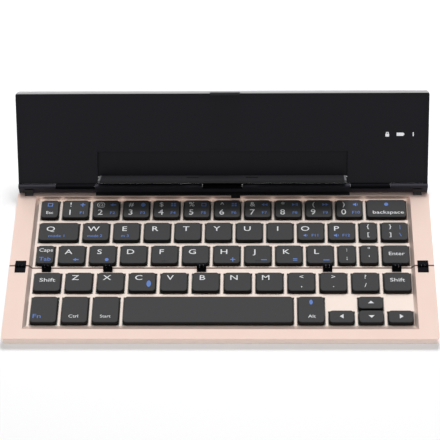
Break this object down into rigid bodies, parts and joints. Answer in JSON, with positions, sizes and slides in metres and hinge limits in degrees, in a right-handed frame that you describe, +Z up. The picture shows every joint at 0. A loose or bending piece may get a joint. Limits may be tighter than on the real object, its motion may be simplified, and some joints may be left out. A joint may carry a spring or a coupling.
{
  "type": "folding keyboard",
  "caption": "Pocket keyboard in two hinged key panels with a hinged lid that covers them when folded and stands up behind as a tablet rest, with a fold-out ledge and low key caps.",
  "frame": {"origin": "On the ground plane under the middle of the whole unfolded part, lid included.", "axes": "+X to the typist's right along the fold, +Y away from the typist towards the lid, +Z up."},
  "size_m": [0.251, 0.1484, 0.0576],
  "materials": {
    "rose_metal": "satin anodised, rose",
    "rose_cover": "fine matte, rose",
    "grey_metal": "satin anodised, silver grey",
    "black_panel": "smooth, half gloss, black",
    "black_plastic": "matte black",
    "dark_metal": "satin dark grey",
    "key_plastic": "matte charcoal",
    "steel": "bright",
    "rubber": "matte",
    "dome_rubber": "translucent matte",
    "white_plastic": "smooth",
    "film": "printed film",
    "pouch": "foil",
    "board": "solder mask",
    "clear": "clear"
  },
  "bodies": {
    "middle_panel": {"middle_frame": "rose_metal", "middle_bottom_cover": "rose_cover", "middle_membrane": "film", "middle_domes": "dome_rubber", "middle_scissors": "white_plastic", "middle_feet": "rubber", "middle_screws": "steel", "hinge_wall": "black_plastic", "rear_hinge_brackets": "dark_metal", "lid_hinge_pins": "steel", "middle_fold_knuckles": "dark_metal", "fold_pins": "steel"},
    "front_panel": {"front_frame": "rose_metal", "front_bottom_cover": "rose_cover", "front_membrane": "film", "front_domes": "dome_rubber", "front_scissors": "white_plastic", "front_feet": "rubber", "front_screws": "steel", "front_fold_knuckles": "dark_metal", "front_magnets": "steel", "space_bar_stabiliser": "steel"},
    "lid": {"lid_shell": "grey_metal", "lid_inner_panel": "black_panel", "lid_knuckles": "dark_metal", "lid_battery": "pouch", "lid_circuit_board": "board", "indicator_lenses": "clear", "charging_port": "steel", "lid_latch": "dark_metal", "lid_magnets": "steel", "flap_pin": "steel"},
    "flap": {"stand_flap": "dark_metal"},
    "esc_key": {"esc_key": "key_plastic"},
    "number_keys_left": {"number_keys_left": "key_plastic"},
    "number_keys_right": {"number_keys_right": "key_plastic"},
    "backspace_key": {"backspace_key": "key_plastic"},
    "q_key": {"q_key": "key_plastic"},
    "upper_keys_left": {"upper_keys_left": "key_plastic"},
    "upper_keys_right": {"upper_keys_right": "key_plastic"},
    "bracket_keys": {"bracket_keys": "key_plastic"},
    "caps_key": {"caps_key": "key_plastic"},
    "home_keys_left": {"home_keys_left": "key_plastic"},
    "home_keys_right": {"home_keys_right": "key_plastic"},
    "quote_keys": {"quote_keys": "key_plastic"},
    "enter_key": {"enter_key": "key_plastic"},
    "left_shift_key": {"left_shift_key": "key_plastic"},
    "lower_keys_left": {"lower_keys_left": "key_plastic"},
    "lower_keys_right": {"lower_keys_right": "key_plastic"},
    "right_shift_key": {"right_shift_key": "key_plastic"},
    "fn_key": {"fn_key": "key_plastic"},
    "ctrl_key": {"ctrl_key": "key_plastic"},
    "start_key": {"start_key": "key_plastic"},
    "space_bar": {"space_bar": "key_plastic"},
    "alt_key": {"alt_key": "key_plastic"},
    "left_arrow_key": {"left_arrow_key": "key_plastic"},
    "up_arrow_key": {"up_arrow_key": "key_plastic"},
    "down_arrow_key": {"down_arrow_key": "key_plastic"},
    "right_arrow_key": {"right_arrow_key": "key_plastic"}
  },
  "joints": [
    {"name": "cover_fold", "type": "hinge", "parent": "middle_panel", "child": "lid", "pos_m": [0, 0.0342, 0.01], "axis": [1, 0, 0], "range_deg": [0, 128]},
    {"name": "flap_turn", "type": "hinge", "parent": "lid", "child": "flap", "pos_m": [0, 0.03924, 0.01304], "axis": [-1, 0, 0], "range_deg": [0, 92]},
    {"name": "front_panel_fold", "type": "hinge", "parent": "middle_panel", "child": "front_panel", "pos_m": [0, -0.0222, 0.00535], "axis": [-1, 0, 0], "range_deg": [0, 180]},
    {"name": "press_alt", "type": "slide", "parent": "front_panel", "child": "alt_key", "axis": [0, 0, -1], "range_m": [0, 0.0009], "stiffness_N_per_m": 500, "springref_m": -0.0002},
    {"name": "press_backspace", "type": "slide", "parent": "middle_panel", "child": "backspace_key", "axis": [0, 0, -1], "range_m": [0, 0.0009], "stiffness_N_per_m": 500, "springref_m": -0.0002},
    {"name": "press_bracket", "type": "slide", "parent": "middle_panel", "child": "bracket_keys", "axis": [0, 0, -1], "range_m": [0, 0.0009], "stiffness_N_per_m": 1000, "springref_m": -0.0002},
    {"name": "press_caps", "type": "slide", "parent": "middle_panel", "child": "caps_key", "axis": [0, 0, -1], "range_m": [0, 0.0009], "stiffness_N_per_m": 500, "springref_m": -0.0002},
    {"name": "press_ctrl", "type": "slide", "parent": "front_panel", "child": "ctrl_key", "axis": [0, 0, -1], "range_m": [0, 0.0009], "stiffness_N_per_m": 500, "springref_m": -0.0002},
    {"name": "press_down_arrow", "type": "slide", "parent": "front_panel", "child": "down_arrow_key", "axis": [0, 0, -1], "range_m": [0, 0.0009], "stiffness_N_per_m": 500, "springref_m": -0.0002},
    {"name": "press_enter", "type": "slide", "parent": "middle_panel", "child": "enter_key", "axis": [0, 0, -1], "range_m": [0, 0.0009], "stiffness_N_per_m": 500, "springref_m": -0.0002},
    {"name": "press_esc", "type": "slide", "parent": "middle_panel", "child": "esc_key", "axis": [0, 0, -1], "range_m": [0, 0.0009], "stiffness_N_per_m": 500, "springref_m": -0.0002},
    {"name": "press_fn", "type": "slide", "parent": "front_panel", "child": "fn_key", "axis": [0, 0, -1], "range_m": [0, 0.0009], "stiffness_N_per_m": 500, "springref_m": -0.0002},
    {"name": "press_home_left", "type": "slide", "parent": "middle_panel", "child": "home_keys_left", "axis": [0, 0, -1], "range_m": [0, 0.0009], "stiffness_N_per_m": 2500, "springref_m": -0.0002},
    {"name": "press_home_right", "type": "slide", "parent": "middle_panel", "child": "home_keys_right", "axis": [0, 0, -1], "range_m": [0, 0.0009], "stiffness_N_per_m": 2000, "springref_m": -0.0002},
    {"name": "press_left_arrow", "type": "slide", "parent": "front_panel", "child": "left_arrow_key", "axis": [0, 0, -1], "range_m": [0, 0.0009], "stiffness_N_per_m": 500, "springref_m": -0.0002},
    {"name": "press_left_shift", "type": "slide", "parent": "front_panel", "child": "left_shift_key", "axis": [0, 0, -1], "range_m": [0, 0.0009], "stiffness_N_per_m": 500, "springref_m": -0.0002},
    {"name": "press_lower_left", "type": "slide", "parent": "front_panel", "child": "lower_keys_left", "axis": [0, 0, -1], "range_m": [0, 0.0009], "stiffness_N_per_m": 2500, "springref_m": -0.0002},
    {"name": "press_lower_right", "type": "slide", "parent": "front_panel", "child": "lower_keys_right", "axis": [0, 0, -1], "range_m": [0, 0.0009], "stiffness_N_per_m": 2500, "springref_m": -0.0002},
    {"name": "press_number_left", "type": "slide", "parent": "middle_panel", "child": "number_keys_left", "axis": [0, 0, -1], "range_m": [0, 0.0009], "stiffness_N_per_m": 2500, "springref_m": -0.0002},
    {"name": "press_number_right", "type": "slide", "parent": "middle_panel", "child": "number_keys_right", "axis": [0, 0, -1], "range_m": [0, 0.0009], "stiffness_N_per_m": 2500, "springref_m": -0.0002},
    {"name": "press_q", "type": "slide", "parent": "middle_panel", "child": "q_key", "axis": [0, 0, -1], "range_m": [0, 0.0009], "stiffness_N_per_m": 500, "springref_m": -0.0002},
    {"name": "press_quote", "type": "slide", "parent": "middle_panel", "child": "quote_keys", "axis": [0, 0, -1], "range_m": [0, 0.0009], "stiffness_N_per_m": 1000, "springref_m": -0.0002},
    {"name": "press_right_arrow", "type": "slide", "parent": "front_panel", "child": "right_arrow_key", "axis": [0, 0, -1], "range_m": [0, 0.0009], "stiffness_N_per_m": 500, "springref_m": -0.0002},
    {"name": "press_right_shift", "type": "slide", "parent": "front_panel", "child": "right_shift_key", "axis": [0, 0, -1], "range_m": [0, 0.0009], "stiffness_N_per_m": 500, "springref_m": -0.0002},
    {"name": "press_space", "type": "slide", "parent": "front_panel", "child": "space_bar", "axis": [0, 0, -1], "range_m": [0, 0.0009], "stiffness_N_per_m": 500, "springref_m": -0.0002},
    {"name": "press_start", "type": "slide", "parent": "front_panel", "child": "start_key", "axis": [0, 0, -1], "range_m": [0, 0.0009], "stiffness_N_per_m": 500, "springref_m": -0.0002},
    {"name": "press_up_arrow", "type": "slide", "parent": "front_panel", "child": "up_arrow_key", "axis": [0, 0, -1], "range_m": [0, 0.0009], "stiffness_N_per_m": 500, "springref_m": -0.0002},
    {"name": "press_upper_left", "type": "slide", "parent": "middle_panel", "child": "upper_keys_left", "axis": [0, 0, -1], "range_m": [0, 0.0009], "stiffness_N_per_m": 2000, "springref_m": -0.0002},
    {"name": "press_upper_right", "type": "slide", "parent": "middle_panel", "child": "upper_keys_right", "axis": [0, 0, -1], "range_m": [0, 0.0009], "stiffness_N_per_m": 2500, "springref_m": -0.0002}
  ],
  "couplings": [
    {"joint": "flap_turn", "follows": "cover_fold", "ratio": 0.71875}
  ]
}
